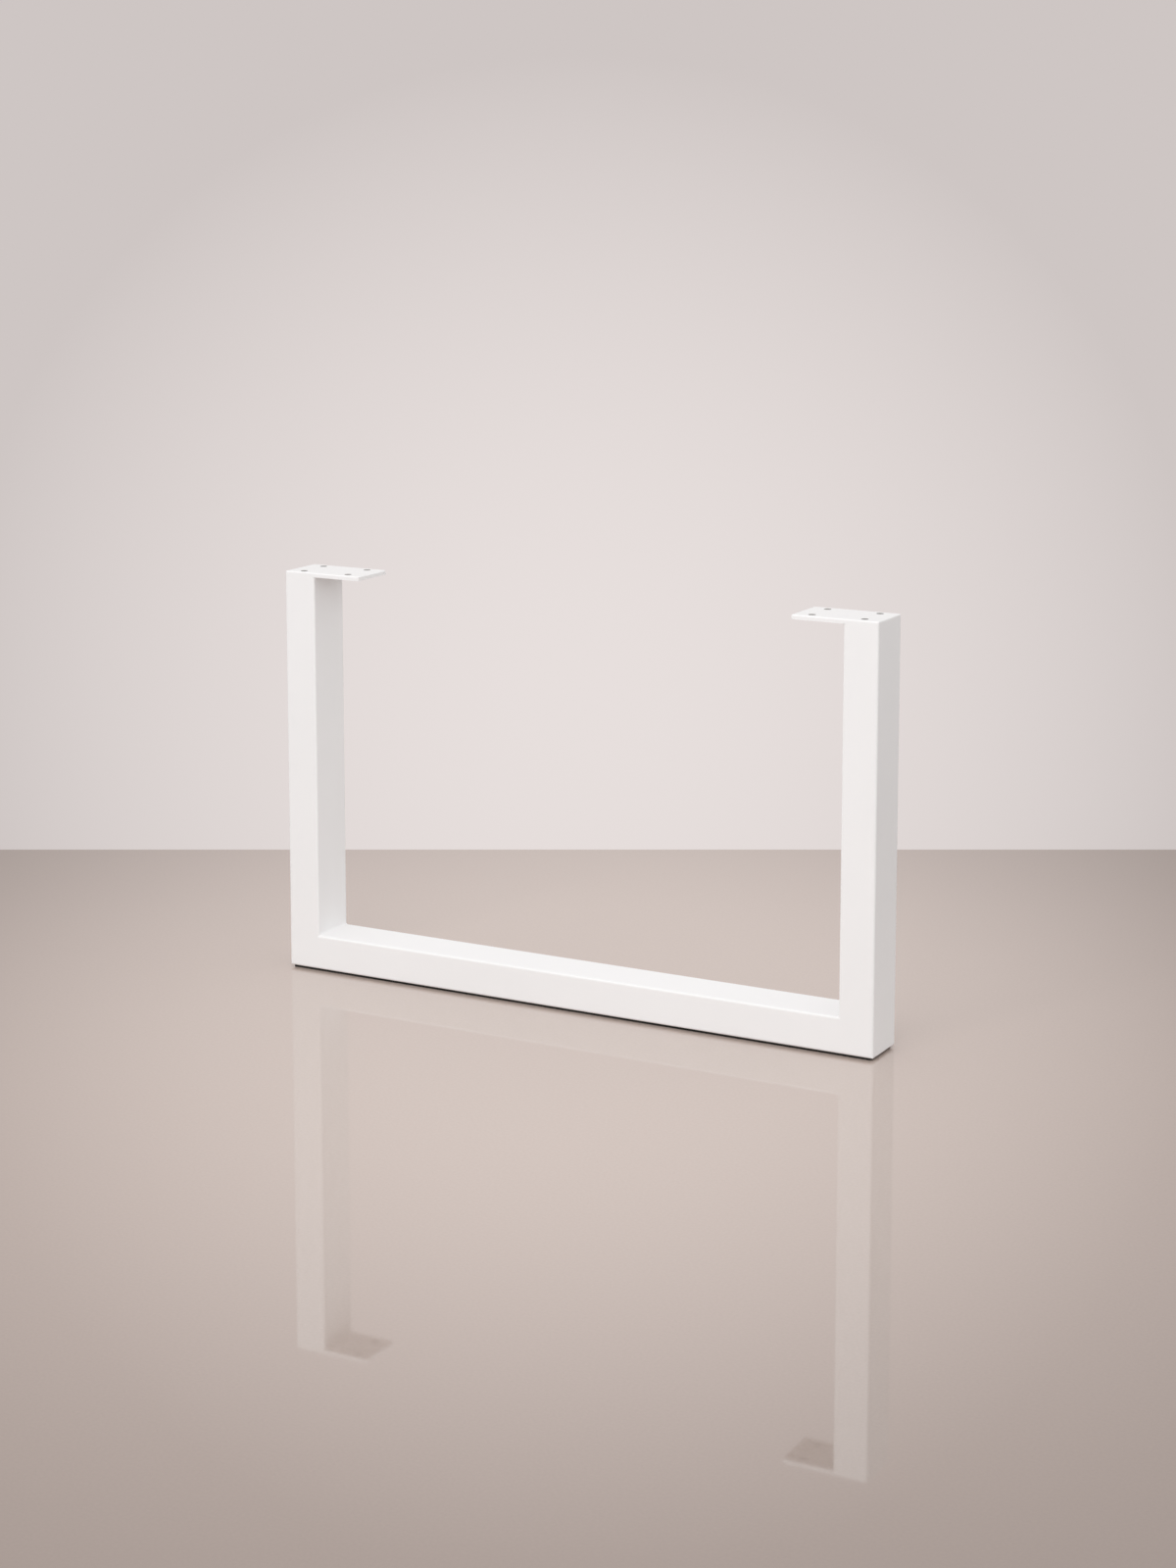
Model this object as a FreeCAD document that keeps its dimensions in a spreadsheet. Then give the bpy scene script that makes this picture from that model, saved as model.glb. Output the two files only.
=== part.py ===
import FreeCAD, Part
import math
import os
import re

import Sketcher

# U shaped table leg: a steel frame welded from three lengths of one rectangular tube, mitred at
# the two lower corners, with a drilled mounting plate on each upright and a thin strip under the rail.
# The welds are ground flush on the outside and left as small hollow fillets in the inner corners.
# The origin is on the floor, midway between the uprights. X runs along the rail, Y through the
# tube's depth and Z up. All sizes are in millimetres.

SIZES = {
    "leg_width": 740,  # over the outer faces of the two uprights
    "leg_height": 470,  # floor to the top of the mounting plates
    "tube_face": 40,  # side of the tube that is seen from the front
    "tube_depth": 60,  # side of the tube that runs front to back
    "tube_wall": 2,
    "tube_inner_radius": 0.5,  # rolled corner of the tube, inside the wall
    "mitre_corner_radius": 1.5,  # outer edge of a mitre, ground round after welding
    "plate_length": 100,  # from the upright's outer face inwards
    "plate_thickness": 5,
    "plate_corner_radius": 2.5,  # the two free corners
    "plate_edge_radius": 1.5,  # dressed upper edge
    "hole_diameter": 8,
    "hole_end_margin": 20,  # from a hole's centre to the nearer end of the plate
    "hole_side_margin": 10,  # from a hole's centre to the nearer side of the plate
    "weld_leg": 3,  # reach of an inner fillet weld along each of the faces it joins
    "weld_face_radius": 3.5,  # hollow face of that weld
    "strip_thickness": 2.5,
    "strip_side_margin": 0.5,  # kept from the round of the tube's lower edges
    "strip_end_margin": 4,  # kept from the ends of the rail
}
TUBE_OUTER_RADIUS = "(tube_inner_radius + tube_wall)"

doc = FreeCAD.newDocument("u_shaped_table_leg")
sheet = doc.addObject("Spreadsheet::Sheet", "Sizes")
for row, (alias, number) in enumerate(SIZES.items(), start=1):
    sheet.set(f"A{row}", alias)
    sheet.set(f"B{row}", str(number))
    sheet.setAlias(f"B{row}", alias)
doc.recompute()


def bound(expression):
    """The expression with each size's name turned into a reference to the sheet."""
    return re.sub(r"[a-z_]+", lambda name: f"Sizes.{name.group()}", expression)


def value_of(expression):
    """The expression's present value, for the first draft of a sketch."""
    return float(sheet.evalExpression(bound(expression)))


def new_body(label, x, z):
    """An empty body whose place along X and Z follows the sheet."""
    body = doc.addObject("PartDesign::Body", label)
    body.Label = label
    body.setExpression("Placement.Base.x", bound(x))
    body.setExpression("Placement.Base.z", bound(z))
    return body


def new_sketch(body, name, plane_role):
    """An empty sketch on one of the body's own origin planes."""
    plane = next(item for item in body.Origin.OriginFeatures if item.Role == plane_role)
    sketch = body.newObject("Sketcher::SketchObject", f"{body.Label}_{name}")
    sketch.AttachmentSupport = (plane, "")
    sketch.MapMode = "FlatFace"
    return sketch


def drive(sketch, expression, *constraint):
    """Adds a dimension that follows the sheet."""
    index = sketch.addConstraint(Sketcher.Constraint(*constraint, value_of(expression)))
    sketch.setExpression(f"Constraints[{index}]", bound(expression))


def place(sketch, geometry, point, x, y):
    """Fixes one point of a sketch element by its distances from the sketch's origin."""
    drive(sketch, x, "DistanceX", -1, 1, geometry, point)
    drive(sketch, y, "DistanceY", -1, 1, geometry, point)


def arc_through_quarter(centre_x, centre_y, radius, start_degrees):
    """A quarter of a circle, turning anticlockwise from the start angle."""
    circle = Part.Circle(FreeCAD.Vector(centre_x, centre_y, 0), FreeCAD.Vector(0, 0, 1), radius)
    start = math.radians(start_degrees)
    return Part.ArcOfCircle(circle, start, start + math.pi / 2)


def draw_rounded_rectangle(sketch, width, height, left_radius, right_radius):
    """A rectangle centred on the sketch's origin, with arcs at its left and right corners."""
    half_width = value_of(width) / 2
    half_height = value_of(height) / 2
    arcs = []
    for start_degrees, side, level in ((-90, 1, -1), (0, 1, 1), (90, -1, 1), (180, -1, -1)):
        radius = value_of(right_radius if side > 0 else left_radius)
        arc = arc_through_quarter(
            side * (half_width - radius), level * (half_height - radius), radius, start_degrees
        )
        arcs.append(sketch.addGeometry(arc))
    lines = []
    for arc, following in zip(arcs, arcs[1:] + arcs[:1]):
        line = sketch.addGeometry(Part.LineSegment(sketch.getPoint(arc, 2), sketch.getPoint(following, 1)))
        sketch.addConstraint(Sketcher.Constraint("Tangent", arc, 2, line, 1))
        sketch.addConstraint(Sketcher.Constraint("Tangent", line, 2, following, 1))
        lines.append(line)
    right, top, left, bottom = lines
    sketch.addConstraint(Sketcher.Constraint("Vertical", right))
    sketch.addConstraint(Sketcher.Constraint("Horizontal", top))
    sketch.addConstraint(Sketcher.Constraint("Vertical", left))
    sketch.addConstraint(Sketcher.Constraint("Horizontal", bottom))
    sketch.addConstraint(Sketcher.Constraint("Equal", arcs[0], arcs[1]))
    drive(sketch, right_radius, "Radius", arcs[0])
    drive(sketch, left_radius, "Radius", arcs[2])
    drive(sketch, f"({width}) / 2", "DistanceX", -1, 1, right, 1)
    drive(sketch, f"({width}) / 2", "DistanceX", left, 1, -1, 1)
    drive(sketch, f"({height}) / 2", "DistanceY", -1, 1, top, 1)
    drive(sketch, f"({height}) / 2", "DistanceY", bottom, 1, -1, 1)


def draw_polygon(sketch, corners):
    """A closed outline of straight lines; each corner is a pair of expressions."""
    points = [FreeCAD.Vector(value_of(x), value_of(y), 0) for x, y in corners]
    lines = [
        sketch.addGeometry(Part.LineSegment(begin, end))
        for begin, end in zip(points, points[1:] + points[:1])
    ]
    for line, following in zip(lines, lines[1:] + lines[:1]):
        sketch.addConstraint(Sketcher.Constraint("Coincident", line, 2, following, 1))
    for line, (x, y) in zip(lines, corners):
        place(sketch, line, 1, x, y)


def pad(body, sketch, length, side_type="One side"):
    """Extrudes the sketch by a length that follows the sheet."""
    feature = body.newObject("PartDesign::Pad", f"{sketch.Label}_pad")
    feature.Profile = sketch
    feature.SideType = side_type
    feature.setExpression("Length", bound(length))
    doc.recompute()


def cut_across(body, sketch):
    """Cuts the sketch's outline out of a tube, through its whole depth on both sides of the sketch."""
    volume_before = body.Shape.Volume
    feature = body.newObject("PartDesign::Pocket", f"{sketch.Label}_cut")
    feature.Profile = sketch
    feature.SideType = "Symmetric"
    feature.setExpression("Length", bound("2 * tube_depth"))
    doc.recompute()
    if feature.Shape.Volume >= volume_before:
        raise RuntimeError(f"{feature.Label} removed nothing")


def draw_tube_section(sketch, width, height):
    """The tube's rolled section: an outer and an inner outline with the wall between them."""
    draw_rounded_rectangle(sketch, width, height, TUBE_OUTER_RADIUS, TUBE_OUTER_RADIUS)
    inner = [f"{side} - 2 * tube_wall" for side in (width, height)]
    draw_rounded_rectangle(sketch, *inner, "tube_inner_radius", "tube_inner_radius")


def draw_corner_waste(sketch, side, face, underside):
    """What is ground off a square outer corner to leave it round, with a quarter circle as its limit.

    The outer face stands at side * face, with side "-1" or "1", and the underside is level.
    """
    radius = "mitre_corner_radius"
    centre_x = f"{side} * ({face} - {radius})"
    centre_y = f"{underside} + {radius}"
    outside_x = f"{side} * ({face} + {radius})"
    below_y = f"{underside} - {radius}"
    to_left = side == "-1"
    arc = sketch.addGeometry(
        arc_through_quarter(
            value_of(centre_x), value_of(centre_y), value_of(radius), 180 if to_left else -90
        )
    )
    face_end, underside_end = (1, 2) if to_left else (2, 1)
    corners = [
        sketch.getPoint(arc, face_end),
        FreeCAD.Vector(value_of(outside_x), value_of(centre_y), 0),
        FreeCAD.Vector(value_of(outside_x), value_of(below_y), 0),
        FreeCAD.Vector(value_of(centre_x), value_of(below_y), 0),
        sketch.getPoint(arc, underside_end),
    ]
    lines = [
        sketch.addGeometry(Part.LineSegment(begin, end)) for begin, end in zip(corners, corners[1:])
    ]
    sketch.addConstraint(Sketcher.Constraint("Coincident", arc, face_end, lines[0], 1))
    for line, following in zip(lines, lines[1:]):
        sketch.addConstraint(Sketcher.Constraint("Coincident", line, 2, following, 1))
    sketch.addConstraint(Sketcher.Constraint("Coincident", lines[-1], 2, arc, underside_end))
    sketch.addConstraint(Sketcher.Constraint("Horizontal", lines[0]))
    sketch.addConstraint(Sketcher.Constraint("Vertical", lines[-1]))
    place(sketch, lines[1], 1, outside_x, centre_y)
    place(sketch, lines[2], 1, outside_x, below_y)
    place(sketch, lines[3], 1, centre_x, below_y)
    place(sketch, arc, 3, centre_x, centre_y)
    drive(sketch, radius, "Radius", arc)


def make_bottom_rail():
    """The lower tube, lying along X, with both ends mitred so that its underside is the longer face."""
    body = new_body("bottom_rail", "0", "strip_thickness + tube_face / 2")
    section = new_sketch(body, "section", "YZ_Plane")
    draw_tube_section(section, "tube_depth", "tube_face")
    pad(body, section, "leg_width", "Symmetric")
    mitres = new_sketch(body, "mitres", "XZ_Plane")
    rounds = new_sketch(body, "rounds", "XZ_Plane")
    # Each waste triangle runs past the tube by one tube_face, above, below and beyond its end.
    below = "-1 * (tube_face / 2 + tube_face)"
    above = "tube_face / 2 + tube_face"
    for side in ("-1", "1"):
        beyond_end = f"{side} * (leg_width / 2 + tube_face)"
        within = f"{side} * (leg_width / 2 - tube_face - tube_face)"
        draw_polygon(mitres, [(beyond_end, below), (beyond_end, above), (within, above)])
        draw_corner_waste(rounds, side, "leg_width / 2", "-1 * tube_face / 2")
    cut_across(body, mitres)
    cut_across(body, rounds)
    return body


def make_upright(label, side):
    """A standing tube, mitred at the foot so that its outer face is the longer one."""
    body = new_body(label, f"{side} * (leg_width - tube_face) / 2", "strip_thickness")
    section = new_sketch(body, "section", "XY_Plane")
    draw_tube_section(section, "tube_face", "tube_depth")
    pad(body, section, "leg_height - plate_thickness - strip_thickness")
    mitre = new_sketch(body, "mitre", "XZ_Plane")
    # The waste triangle runs past the tube by one tube_face, outwards, inwards and below its end.
    outward = f"{side} * (tube_face / 2 + tube_face)"
    inward = f"-1 * {outward}"
    draw_polygon(
        mitre, [(outward, "-1 * tube_face"), (inward, "-1 * tube_face"), (inward, "tube_face + tube_face")]
    )
    cut_across(body, mitre)
    foot_round = new_sketch(body, "round", "XZ_Plane")
    draw_corner_waste(foot_round, side, "tube_face / 2", "0")
    cut_across(body, foot_round)
    return body


def make_mounting_plate(label, side):
    """A drilled plate on an upright's end, flush with the tube on three sides and pointing inwards."""
    body = new_body(label, f"{side} * (leg_width - plate_length) / 2", "leg_height - plate_thickness")
    outline = new_sketch(body, "outline", "XY_Plane")
    radii = [TUBE_OUTER_RADIUS, "plate_corner_radius"]
    if side == "1":
        radii.reverse()
    draw_rounded_rectangle(outline, "plate_length", "tube_depth", *radii)
    pad(body, outline, "plate_thickness")

    holes = new_sketch(body, "holes", "XY_Plane")
    holes.setExpression("AttachmentOffset.Base.z", bound("plate_thickness"))
    for along in ("-1", "1"):
        for across in ("-1", "1"):
            x = f"{along} * (plate_length / 2 - hole_end_margin)"
            y = f"{across} * (tube_depth / 2 - hole_side_margin)"
            centre = FreeCAD.Vector(value_of(x), value_of(y), 0)
            radius = value_of("hole_diameter / 2")
            circle = holes.addGeometry(Part.Circle(centre, FreeCAD.Vector(0, 0, 1), radius))
            place(holes, circle, 3, x, y)
            drive(holes, "hole_diameter", "Diameter", circle)
    doc.recompute()
    volume_before = body.Shape.Volume
    drilled = body.newObject("PartDesign::Hole", f"{label}_drilled")
    drilled.Profile = holes
    drilled.DepthType = "ThroughAll"
    drilled.setExpression("Diameter", bound("hole_diameter"))
    doc.recompute()
    if drilled.Shape.Volume >= volume_before:
        raise RuntimeError(f"{drilled.Label} removed nothing")

    top = max(drilled.Shape.Faces, key=lambda face: face.CenterOfMass.z)
    rim = [edge.hashCode() for edge in top.OuterWire.Edges]
    names = [
        f"Edge{number}"
        for number, edge in enumerate(drilled.Shape.Edges, start=1)
        if edge.hashCode() in rim
    ]
    dressed = body.newObject("PartDesign::Fillet", f"{label}_dressed")
    dressed.Base = (drilled, names)
    dressed.setExpression("Radius", bound("plate_edge_radius"))
    doc.recompute()
    return body


def make_inner_weld(label, side, z, up):
    """A fillet weld along an upright's inner face, on the face above or below it at height z.

    Its section is a corner with two equal legs, closed by a hollow arc, and it runs along the flat
    stretch of the tube, between the rolled edges.
    """
    body = new_body(label, f"{side} * (leg_width / 2 - tube_face)", z)
    section = new_sketch(body, "section", "XZ_Plane")
    across = f"-1 * {side} * weld_leg"
    along = f"{up} * weld_leg"
    leg = value_of("weld_leg")
    radius = value_of("weld_face_radius")
    centre_offset = (leg + math.sqrt(2 * radius**2 - leg**2)) / 2
    inward = math.copysign(1, value_of(across))
    upward = math.copysign(1, value_of(along))
    corner = FreeCAD.Vector(0, 0, 0)
    toes = [FreeCAD.Vector(inward * leg, 0, 0), FreeCAD.Vector(0, upward * leg, 0)]
    centre = FreeCAD.Vector(inward * centre_offset, upward * centre_offset, 0)
    circle = Part.Circle(centre, FreeCAD.Vector(0, 0, 1), radius)
    # An arc is drawn anticlockwise, so the toe that it starts from depends on the quadrant.
    starts_at_level_toe = inward * upward < 0
    begin, end = toes if starts_at_level_toe else toes[::-1]
    arc = section.addGeometry(Part.ArcOfCircle(circle, circle.parameter(begin), circle.parameter(end)))
    level_leg = section.addGeometry(Part.LineSegment(corner, toes[0]))
    upright_leg = section.addGeometry(Part.LineSegment(corner, toes[1]))
    level_toe, upright_toe = (1, 2) if starts_at_level_toe else (2, 1)
    for first, second in (
        ((level_leg, 1), (-1, 1)),
        ((upright_leg, 1), (-1, 1)),
        ((level_leg, 2), (arc, level_toe)),
        ((upright_leg, 2), (arc, upright_toe)),
    ):
        section.addConstraint(Sketcher.Constraint("Coincident", *first, *second))
    section.addConstraint(Sketcher.Constraint("Horizontal", level_leg))
    section.addConstraint(Sketcher.Constraint("Vertical", upright_leg))
    drive(section, across, "DistanceX", -1, 1, level_leg, 2)
    drive(section, along, "DistanceY", -1, 1, upright_leg, 2)
    drive(section, "weld_face_radius", "Radius", arc)
    pad(body, section, f"tube_depth - 2 * {TUBE_OUTER_RADIUS}", "Symmetric")
    return body


def make_floor_strip():
    """The strip under the rail, as wide as the flat of the tube's underside less a margin."""
    body = new_body("floor_strip", "0", "0")
    outline = new_sketch(body, "outline", "XY_Plane")
    half_length = "(leg_width / 2 - strip_end_margin)"
    half_width = f"(tube_depth / 2 - {TUBE_OUTER_RADIUS} - strip_side_margin)"
    draw_polygon(
        outline,
        [
            (f"-1 * {half_length}", f"-1 * {half_width}"),
            (half_length, f"-1 * {half_width}"),
            (half_length, half_width),
            (f"-1 * {half_length}", half_width),
        ],
    )
    pad(body, outline, "strip_thickness")
    return body


bodies = [
    make_bottom_rail(),
    make_upright("left_upright", "-1"),
    make_upright("right_upright", "1"),
    make_mounting_plate("left_mounting_plate", "-1"),
    make_mounting_plate("right_mounting_plate", "1"),
    make_floor_strip(),
]
rail_top = "strip_thickness + tube_face"
plate_underside = "leg_height - plate_thickness"
for name, side in (("left", "-1"), ("right", "1")):
    bodies.append(make_inner_weld(f"{name}_corner_weld", side, rail_top, "1"))
    bodies.append(make_inner_weld(f"{name}_plate_weld", side, plate_underside, "-1"))
doc.recompute()

for item in doc.Objects:
    if {"Invalid", "Error"} & set(item.State):
        raise RuntimeError(f"{item.Label} failed: {item.State}")
for body in bodies:
    if body.Shape.isNull() or not body.Shape.isValid() or len(body.Shape.Solids) != 1:
        raise RuntimeError(f"{body.Label} is not one valid solid")

os.makedirs("parts", exist_ok=True)
for body in bodies:
    body.Shape.exportStep(f"parts/{body.Label}.step")
    print(f"{body.Label}: {body.Shape.Volume:.0f} mm3")
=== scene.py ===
import math

import bpy
import numpy as np
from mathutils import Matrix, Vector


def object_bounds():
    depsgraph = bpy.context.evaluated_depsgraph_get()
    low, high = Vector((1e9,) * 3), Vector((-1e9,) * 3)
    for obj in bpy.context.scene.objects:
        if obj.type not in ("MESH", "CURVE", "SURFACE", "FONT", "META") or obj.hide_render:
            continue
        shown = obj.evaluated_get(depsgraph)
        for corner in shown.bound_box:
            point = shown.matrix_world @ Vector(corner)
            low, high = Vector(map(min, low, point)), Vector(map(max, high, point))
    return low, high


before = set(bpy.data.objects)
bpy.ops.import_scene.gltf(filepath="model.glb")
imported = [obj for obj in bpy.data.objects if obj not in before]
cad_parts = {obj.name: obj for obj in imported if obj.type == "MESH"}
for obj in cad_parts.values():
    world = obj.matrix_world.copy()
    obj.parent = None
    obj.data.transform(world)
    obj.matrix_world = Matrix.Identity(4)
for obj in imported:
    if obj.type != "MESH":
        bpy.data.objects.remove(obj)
cad_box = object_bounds()

# Steel frame: the bottom rail and the two uprights, three lengths of one cold-rolled rectangular
# tube, mitred and welded into a U, with the welds ground flush outside and left as small hollow
# fillets inside. The whole frame is blasted and powder coated white, so no joint shows.

FRAME_NODES = [
    "bottom_rail",
    "left_upright",
    "right_upright",
    "left_corner_weld",
    "right_corner_weld",
    "left_plate_weld",
    "right_plate_weld",
]
COAT_WHITE = "#F2F1F1"
COAT_SHADE = "#EFEEEE"
COAT_SHADE_WIDTH_MM = 90  # patches where the coat lies slightly thinner
COAT_IOR = 1.5
COAT_ROUGHNESS = (0.36, 0.44)  # glossiest and mattest
GLOSS_PATCH_WIDTH_MM = 30  # slow change in gloss where the oven's heat differed
PEEL_WIDTH_MM = 2.5  # ripple of the fused powder, drawn a little coarser than the real 1 to 2 mm
PEEL_HEIGHT_MM = 0.006
MM_PER_METRE = 1000
MIX_A, MIX_B, MIX_RESULT = 6, 7, 2  # a colour mix's sockets, by number because its names repeat


def linear_colour(code):
    """Linear RGBA of an sRGB hex code.

    A channel c is c / 12.92 up to 0.04045, and ((c + 0.055) / 1.055) ** 2.4 above it.
    """
    srgb = np.array([int(code[i : i + 2], 16) for i in (1, 3, 5)]) / 255
    linear = np.where(srgb <= 0.04045, srgb / 12.92, ((srgb + 0.055) / 1.055) ** 2.4)
    return (*linear.tolist(), 1.0)


def add_node(tree, kind, inputs=None, **settings):
    """Adds a node with its settings. An input that is a socket is linked, any other is set."""
    node = tree.nodes.new(kind)
    for name, value in settings.items():
        setattr(node, name, value)
    for name, value in (inputs or {}).items():
        if isinstance(value, bpy.types.NodeSocket):
            tree.links.new(value, node.inputs[name])
        else:
            node.inputs[name].default_value = value
    return node


def empty_material(name):
    """A material with no nodes yet, and its node tree."""
    material = bpy.data.materials.new(name)
    material.use_nodes = True
    material.node_tree.nodes.clear()
    return material, material.node_tree


def dress(names, material):
    """Gives the named nodes of the frame this one material."""
    for name in names:
        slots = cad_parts[name].data.materials
        slots.clear()
        slots.append(material)


# Powder coat is a polyester powder sprayed on and melted in an oven. It gives the eye an even satin
# white with soft, wide highlights, a faint ripple in them and hardly any change of tone.
coat, tree = empty_material("satin white powder coat")
place = add_node(tree, "ShaderNodeTexCoord").outputs["Object"]
shade = add_node(
    tree,
    "ShaderNodeTexNoise",
    {"Vector": place, "Scale": MM_PER_METRE / COAT_SHADE_WIDTH_MM, "Detail": 2.0},
)
tone = add_node(
    tree,
    "ShaderNodeMix",
    {
        "Factor": shade.outputs["Fac"],
        MIX_A: linear_colour(COAT_SHADE),
        MIX_B: linear_colour(COAT_WHITE),
    },
    data_type="RGBA",
)
patches = add_node(
    tree,
    "ShaderNodeTexNoise",
    {"Vector": place, "Scale": MM_PER_METRE / GLOSS_PATCH_WIDTH_MM, "Detail": 3.0},
)
roughness = add_node(
    tree,
    "ShaderNodeMapRange",
    {"Value": patches.outputs["Fac"], "To Min": COAT_ROUGHNESS[0], "To Max": COAT_ROUGHNESS[1]},
)
peel = add_node(
    tree,
    "ShaderNodeTexNoise",
    {"Vector": place, "Scale": MM_PER_METRE / PEEL_WIDTH_MM, "Detail": 1.0},
)
ripple = add_node(
    tree,
    "ShaderNodeBump",
    {"Height": peel.outputs["Fac"], "Distance": PEEL_HEIGHT_MM / MM_PER_METRE},
)
shader = add_node(
    tree,
    "ShaderNodeBsdfPrincipled",
    {
        "Base Color": tone.outputs[MIX_RESULT],
        "Roughness": roughness.outputs["Result"],
        "IOR": COAT_IOR,
        "Normal": ripple.outputs["Normal"],
    },
)
add_node(tree, "ShaderNodeOutputMaterial", {"Surface": shader.outputs["BSDF"]})
dress(FRAME_NODES, coat)

# Mounting plates: two flat steel plates, cut and drilled with four holes each, welded on the tops
# of the uprights so that they point inwards. Three sides are flush with the tube, and the upper
# edges are dressed round. They are coated together with the frame.

PLATE_MIDDLE_MM = 320  # from the leg's middle to the middle of each plate
HOLE_SPACING_MM = (60, 40)
HOLE_RADIUS_MM = 4
HOLE_SHADE_GREY = "#A4A19F"
HOLE_SHADE_RIM_MM = (0.02, 0.25)  # past a hole's wall, where the painted shade starts to fade and where it has gone

# The same coat with painted shade in the holes: the walls of each hole are darkened
# to grey, so each hole reads as a small grey ring.
plate_coat_with_hole_shade = coat.copy()
plate_coat_with_hole_shade.name = "satin white powder coat with painted shade in the holes"
tree = plate_coat_with_hole_shade.node_tree
shader = tree.nodes["Principled BSDF"]
place = add_node(tree, "ShaderNodeTexCoord").outputs["Object"]
# Distance from the nearest hole's axis: folding x and y about the middles brings all the holes
# onto one.
half_spacing = [spacing / 2 / MM_PER_METRE for spacing in HOLE_SPACING_MM]
fold = add_node(tree, "ShaderNodeVectorMath", {0: place}, operation="ABSOLUTE")
fold = add_node(
    tree,
    "ShaderNodeVectorMath",
    {0: fold.outputs["Vector"], 1: (PLATE_MIDDLE_MM / MM_PER_METRE, half_spacing[1], 0)},
    operation="SUBTRACT",
)
fold = add_node(tree, "ShaderNodeVectorMath", {0: fold.outputs["Vector"]}, operation="ABSOLUTE")
fold = add_node(
    tree,
    "ShaderNodeVectorMath",
    {0: fold.outputs["Vector"], 1: (half_spacing[0], 0, 0)},
    operation="SUBTRACT",
)
flat = add_node(
    tree, "ShaderNodeVectorMath", {0: fold.outputs["Vector"], 1: (1, 1, 0)}, operation="MULTIPLY"
)
from_axis = add_node(tree, "ShaderNodeVectorMath", {0: flat.outputs["Vector"]}, operation="LENGTH")
hole_shade_fade = add_node(
    tree,
    "ShaderNodeMapRange",
    {
        "Value": from_axis.outputs["Value"],
        "From Min": (HOLE_RADIUS_MM + HOLE_SHADE_RIM_MM[0]) / MM_PER_METRE,
        "From Max": (HOLE_RADIUS_MM + HOLE_SHADE_RIM_MM[1]) / MM_PER_METRE,
    },
)
# Painted shade: grey on the hole walls, fading into the white coat past each hole's rim.
tone = add_node(
    tree,
    "ShaderNodeMix",
    {
        "Factor": hole_shade_fade.outputs["Result"],
        MIX_A: linear_colour(HOLE_SHADE_GREY),
        MIX_B: shader.inputs["Base Color"].links[0].from_socket,
    },
    data_type="RGBA",
)
tree.links.new(tone.outputs[MIX_RESULT], shader.inputs["Base Color"])
dress(["left_mounting_plate", "right_mounting_plate"], plate_coat_with_hole_shade)

# Floor strip: a thin band of black rubber, stuck to the underside of the rail so that the steel
# doesn't scratch the floor. Its near-black also stands in as painted shade for the gap under the
# rail. Only its edge shows, as a dark line.

STRIP_BLACK = "#161514"
STRIP_GREY = "#24221F"
RUBBER_IOR = 1.52
RUBBER_ROUGHNESS = 0.85
RUBBER_GRAIN_MM = 1.2
RUBBER_GRAIN_HEIGHT_MM = 0.05

# Skived rubber gives the eye a matt near-black with a fine cut grain and no clear highlight. The
# near-black is partly painted shade for the gap under the rail.
rubber, tree = empty_material("black skived rubber with painted gap shade")
place = add_node(tree, "ShaderNodeTexCoord").outputs["Object"]
grain = add_node(
    tree,
    "ShaderNodeTexNoise",
    {"Vector": place, "Scale": MM_PER_METRE / RUBBER_GRAIN_MM, "Detail": 3.0},
)
tone = add_node(
    tree,
    "ShaderNodeMix",
    {
        "Factor": grain.outputs["Fac"],
        MIX_A: linear_colour(STRIP_BLACK),
        MIX_B: linear_colour(STRIP_GREY),
    },
    data_type="RGBA",
)
relief = add_node(
    tree,
    "ShaderNodeBump",
    {"Height": grain.outputs["Fac"], "Distance": RUBBER_GRAIN_HEIGHT_MM / MM_PER_METRE},
)
shader = add_node(
    tree,
    "ShaderNodeBsdfPrincipled",
    {
        "Base Color": tone.outputs[MIX_RESULT],
        "Roughness": RUBBER_ROUGHNESS,
        "IOR": RUBBER_IOR,
        "Normal": relief.outputs["Normal"],
    },
)
add_node(tree, "ShaderNodeOutputMaterial", {"Surface": shader.outputs["BSDF"]})
dress(["floor_strip"], rubber)

# Camera: front right of the leg, a little above it. The lens is shifted down on its mount, so the
# camera tilts less and the uprights stay nearly parallel in the picture.

CAMERA_PLACE = (1.539, -2.789, 0.9733)
CAMERA_YAW = math.radians(28.71)
CAMERA_PITCH = math.radians(8.15)  # looking down
FOCAL_LENGTH_MM = 67.28
SENSOR_MM = 36
LENS_SHIFT = -0.15  # as a share of the picture's height

lens = bpy.data.cameras.new("camera")
lens.lens = FOCAL_LENGTH_MM
lens.sensor_width = SENSOR_MM
lens.shift_y = LENS_SHIFT
camera = bpy.data.objects.new("camera", lens)
camera.location = CAMERA_PLACE
camera.rotation_euler = (math.pi / 2 - CAMERA_PITCH, 0, CAMERA_YAW)
bpy.context.collection.objects.link(camera)
bpy.context.scene.camera = camera

# Floor: a plain pale polished slab that runs out softly into the backdrop on all sides. A pool of
# light is painted on it: it is darker away from the leg. Only its upper side shows, so the leg can
# be seen from below.

FLOOR_COLOUR = "#BEAEA5"
FLOOR_PAINTED_DIM = "#7E6F66"
LIGHT_POOL_HALF = (1.2, 1.65)  # half width and half depth in metres of the painted pool of light round the leg
LIGHT_POOL_START = 0.2  # share of the painted pool of light that has its full brightness
FLOOR_REACH = (2.2, 3.8)  # metres from the leg where the slab starts to fade and where it ends
FLOOR_DROP = 0.0001  # below the strip, in metres, so that the two faces don't coincide
FLOOR_GRIT_MM = 3.0
FLOOR_GRIT_TONE = 0.06  # how far the grit changes the tone, as a share of it
POLISH_IOR = 3.0  # far above stone's 1.5, for a mirror image that also shows from higher up
POLISH_ROUGHNESS = 0.03

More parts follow.
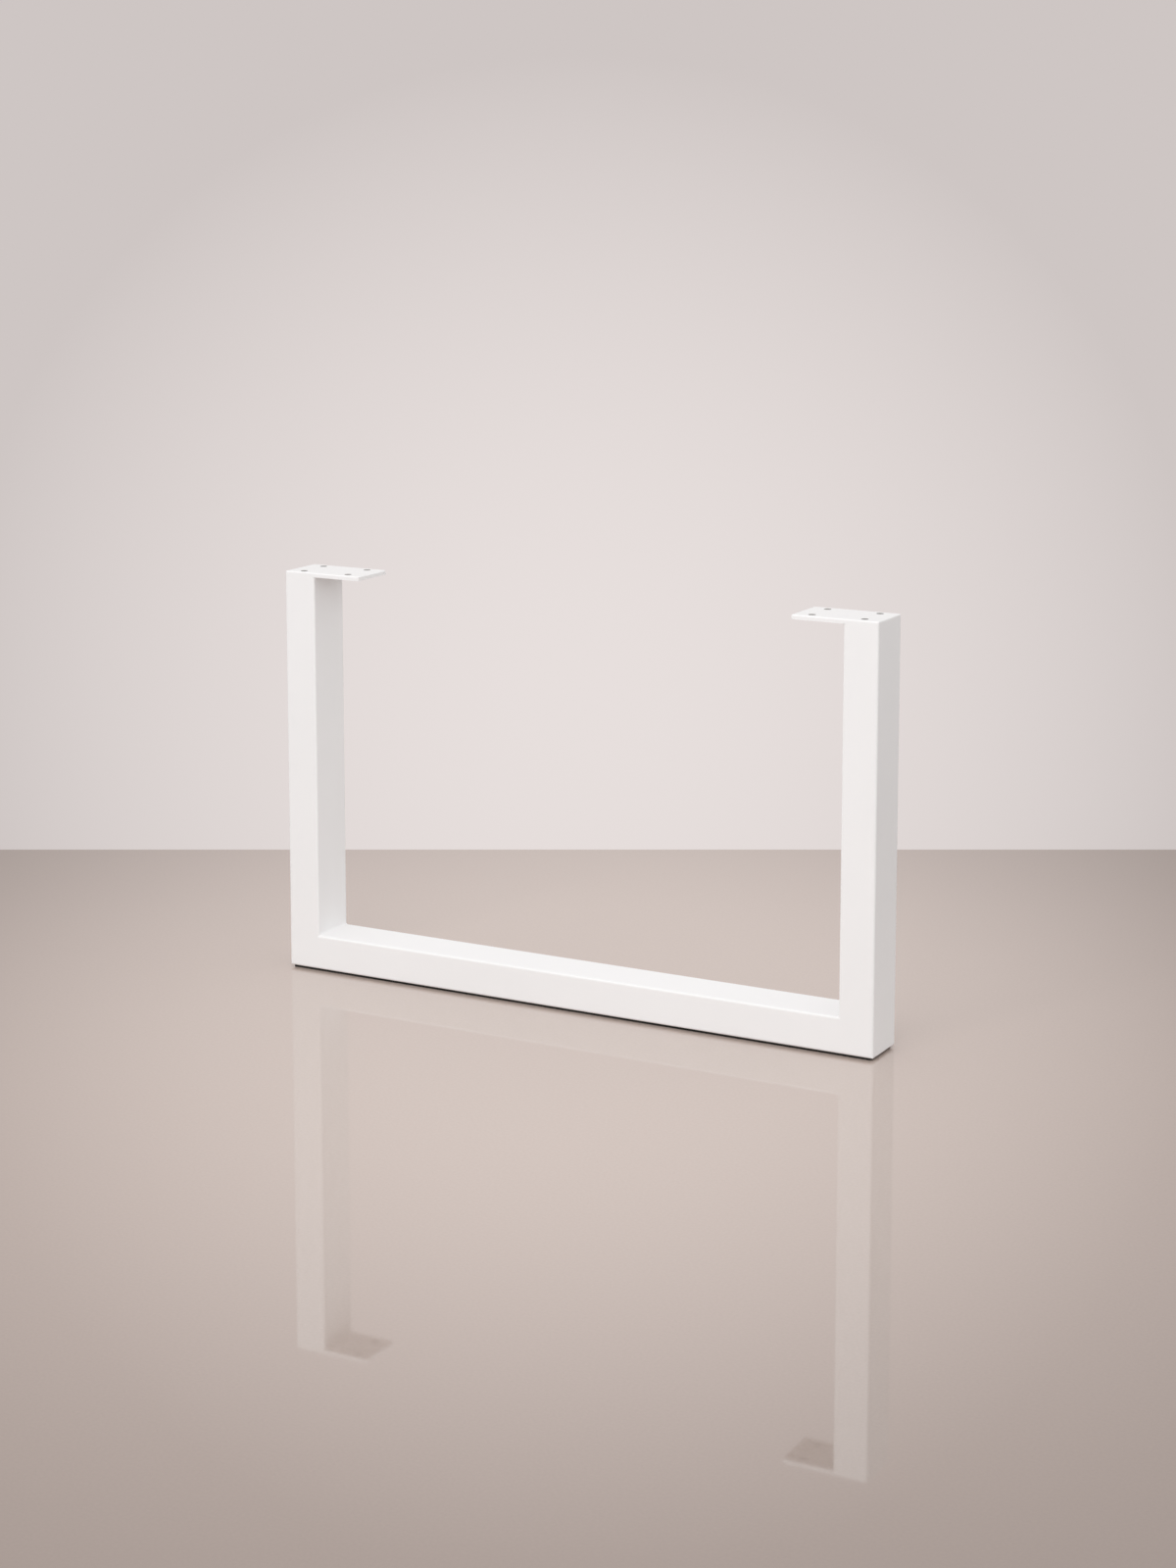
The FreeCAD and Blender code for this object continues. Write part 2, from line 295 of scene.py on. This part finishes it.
floor_mesh = bpy.data.meshes.new("floor")
floor_mesh.from_pydata(
    [
        (x * FLOOR_REACH[1], y * FLOOR_REACH[1], -FLOOR_DROP)
        for x, y in ((-1, -1), (1, -1), (1, 1), (-1, 1))
    ],
    [],
    [(0, 1, 2, 3)],
)
floor = bpy.data.objects.new("floor", floor_mesh)
bpy.context.collection.objects.link(floor)

# A polished slab gives the eye a warm pale grey with a fine grit, and a weak, clear mirror image
# of what stands on it.
slab, tree = empty_material("pale polished floor")
place = add_node(tree, "ShaderNodeTexCoord").outputs["Object"]
grit = add_node(
    tree,
    "ShaderNodeTexNoise",
    {"Vector": place, "Scale": MM_PER_METRE / FLOOR_GRIT_MM, "Detail": 4.0},
)
speckle = add_node(
    tree,
    "ShaderNodeMapRange",
    {"Value": grit.outputs["Fac"], "To Min": 1 - FLOOR_GRIT_TONE, "To Max": 1 + FLOOR_GRIT_TONE},
)
# Painted pool of light: the floor darkens from its pale colour to a dim one outside an oval round
# the leg.
light_pool_oval = add_node(
    tree,
    "ShaderNodeMapping",
    {"Vector": place, "Rotation": (0, 0, CAMERA_YAW), "Scale": (*LIGHT_POOL_HALF, 1)},
    vector_type="TEXTURE",
)
from_light_pool = add_node(
    tree, "ShaderNodeVectorMath", {0: light_pool_oval.outputs["Vector"]}, operation="LENGTH"
)
painted_falloff = add_node(
    tree,
    "ShaderNodeMapRange",
    {"Value": from_light_pool.outputs["Value"], "From Min": LIGHT_POOL_START, "From Max": 1.0},
    interpolation_type="SMOOTHSTEP",
)
tone = add_node(
    tree,
    "ShaderNodeMix",
    {
        "Factor": painted_falloff.outputs["Result"],
        MIX_A: linear_colour(FLOOR_COLOUR),
        MIX_B: linear_colour(FLOOR_PAINTED_DIM),
    },
    data_type="RGBA",
)
tone = add_node(
    tree,
    "ShaderNodeVectorMath",
    {0: tone.outputs[MIX_RESULT], 1: speckle.outputs["Result"]},
    operation="MULTIPLY",
)
matt = add_node(tree, "ShaderNodeBsdfDiffuse", {"Color": tone.outputs["Vector"]})
gloss = add_node(
    tree, "ShaderNodeBsdfGlossy", {"Color": (1, 1, 1, 1), "Roughness": POLISH_ROUGHNESS}
)
angle = add_node(tree, "ShaderNodeFresnel", {"IOR": POLISH_IOR})
solid = add_node(
    tree,
    "ShaderNodeMixShader",
    {0: angle.outputs["Fac"], 1: matt.outputs["BSDF"], 2: gloss.outputs["BSDF"]},
)
from_leg = add_node(tree, "ShaderNodeVectorMath", {0: place}, operation="LENGTH")
fade = add_node(
    tree,
    "ShaderNodeMapRange",
    {"Value": from_leg.outputs["Value"], "From Min": FLOOR_REACH[0], "From Max": FLOOR_REACH[1]},
    interpolation_type="SMOOTHSTEP",
)
underside = add_node(tree, "ShaderNodeNewGeometry").outputs["Backfacing"]
gone = add_node(
    tree, "ShaderNodeMath", {0: fade.outputs["Result"], 1: underside}, operation="MAXIMUM"
)
clear = add_node(tree, "ShaderNodeBsdfTransparent")
surface = add_node(
    tree,
    "ShaderNodeMixShader",
    {0: gone.outputs["Value"], 1: solid.outputs["Shader"], 2: clear.outputs["BSDF"]},
)
add_node(tree, "ShaderNodeOutputMaterial", {"Surface": surface.outputs["Shader"]})
floor_mesh.materials.append(slab)

# Wall: a pale card behind the leg that gives the floor its far edge. Only its front shows, so it
# doesn't stand in the way of a view from behind, and it keeps no light from the leg.

WALL_PALE = "#E7DFDD"
WALL_RIM = "#CEC6C4"
WALL_BEHIND = 0.715  # from the leg's middle, away from the camera, in metres
WALL_HALF_WIDTH = 6
WALL_HEIGHT = 5
WALL_GLOW_HEIGHT = 0.23  # the palest place, straight behind the leg
WALL_GLOW_REACH = 0.84  # from there to where the wall has its rim colour

toward_camera = np.array([math.sin(CAMERA_YAW), -math.cos(CAMERA_YAW), 0])
sideways = np.array([math.cos(CAMERA_YAW), math.sin(CAMERA_YAW), 0])
wall_foot = -WALL_BEHIND * toward_camera
corners = [
    wall_foot + across * WALL_HALF_WIDTH * sideways + np.array([0, 0, up * WALL_HEIGHT])
    for across, up in ((-1, 0), (1, 0), (1, 1), (-1, 1))
]
wall_mesh = bpy.data.meshes.new("wall")
wall_mesh.from_pydata([corner.tolist() for corner in corners], [], [(0, 1, 2, 3)])
wall = bpy.data.objects.new("wall", wall_mesh)
bpy.context.collection.objects.link(wall)


def eye_ray(tree):
    """1 for a ray that shows something, also in a mirror or glass, and 0 for one that lights."""
    ray = add_node(tree, "ShaderNodeLightPath").outputs
    seen = add_node(
        tree,
        "ShaderNodeMath",
        {0: ray["Is Camera Ray"], 1: ray["Is Glossy Ray"]},
        operation="MAXIMUM",
    ).outputs["Value"]
    return add_node(
        tree, "ShaderNodeMath", {0: seen, 1: ray["Is Transmission Ray"]}, operation="MAXIMUM"
    ).outputs["Value"]


# Matt wall paint gives the eye a pale tone with no gloss. The card emits its colour, with a painted
# pool of light: it glows most behind the leg and darkens with the square of the distance.
paint, tree = empty_material("pale wall with painted glow")
place = add_node(tree, "ShaderNodeTexCoord").outputs["Object"]
from_glow = add_node(
    tree,
    "ShaderNodeVectorMath",
    {0: place, 1: (wall_foot + np.array([0, 0, WALL_GLOW_HEIGHT])).tolist()},
    operation="SUBTRACT",
).outputs["Vector"]
square = add_node(
    tree, "ShaderNodeVectorMath", {0: from_glow, 1: from_glow}, operation="DOT_PRODUCT"
)
painted_falloff = add_node(
    tree, "ShaderNodeMapRange", {"Value": square.outputs["Value"], "From Max": WALL_GLOW_REACH**2}
)
tone = add_node(
    tree,
    "ShaderNodeMix",
    {
        "Factor": painted_falloff.outputs["Result"],
        MIX_A: linear_colour(WALL_PALE),
        MIX_B: linear_colour(WALL_RIM),
    },
    data_type="RGBA",
)
card = add_node(
    tree, "ShaderNodeEmission", {"Color": tone.outputs[MIX_RESULT], "Strength": 1.0}
)
back = add_node(tree, "ShaderNodeNewGeometry").outputs["Backfacing"]
front = add_node(tree, "ShaderNodeMath", {0: 1.0, 1: back}, operation="SUBTRACT")
shows = add_node(
    tree, "ShaderNodeMath", {0: eye_ray(tree), 1: front.outputs["Value"]}, operation="MULTIPLY"
)
clear = add_node(tree, "ShaderNodeBsdfTransparent")
surface = add_node(
    tree,
    "ShaderNodeMixShader",
    {0: shows.outputs["Value"], 1: clear.outputs["BSDF"], 2: card.outputs["Emission"]},
)
add_node(tree, "ShaderNodeOutputMaterial", {"Surface": surface.outputs["Shader"]})
wall_mesh.materials.append(paint)

# Light: a pale, even room all around and one large soft lamp in front of the leg, above the camera.
# The eye, reflections and glass see the room in the wall's own rim colour.

ROOM_LIGHT = "#FAFAFA"
LAMP_PLACE = (0.15, -2.7, 1.93)
LAMP_SIZE = 2.0
LAMP_POWER = 36

world = bpy.data.worlds.new("pale room")
bpy.context.scene.world = world
world.use_nodes = True
tree = world.node_tree
tree.nodes.clear()
light = add_node(
    tree, "ShaderNodeBackground", {"Color": linear_colour(ROOM_LIGHT), "Strength": 1.0}
)
backdrop = add_node(
    tree, "ShaderNodeBackground", {"Color": linear_colour(WALL_RIM), "Strength": 1.0}
)
room = add_node(
    tree,
    "ShaderNodeMixShader",
    {0: eye_ray(tree), 1: light.outputs["Background"], 2: backdrop.outputs["Background"]},
)
add_node(tree, "ShaderNodeOutputWorld", {"Surface": room.outputs["Shader"]})

softbox = bpy.data.lights.new("softbox", "AREA")
softbox.shape = "SQUARE"
softbox.size = LAMP_SIZE
softbox.energy = LAMP_POWER
lamp = bpy.data.objects.new("softbox", softbox)
lamp.location = LAMP_PLACE
lamp_aim = (cad_box[0] + cad_box[1]) / 2 - lamp.location
lamp.rotation_euler = lamp_aim.to_track_quat("-Z", "Y").to_euler()
lamp.visible_glossy = False  # the floor would mirror it as a white patch
bpy.context.collection.objects.link(lamp)

bpy.context.scene.view_settings.view_transform = "Standard"
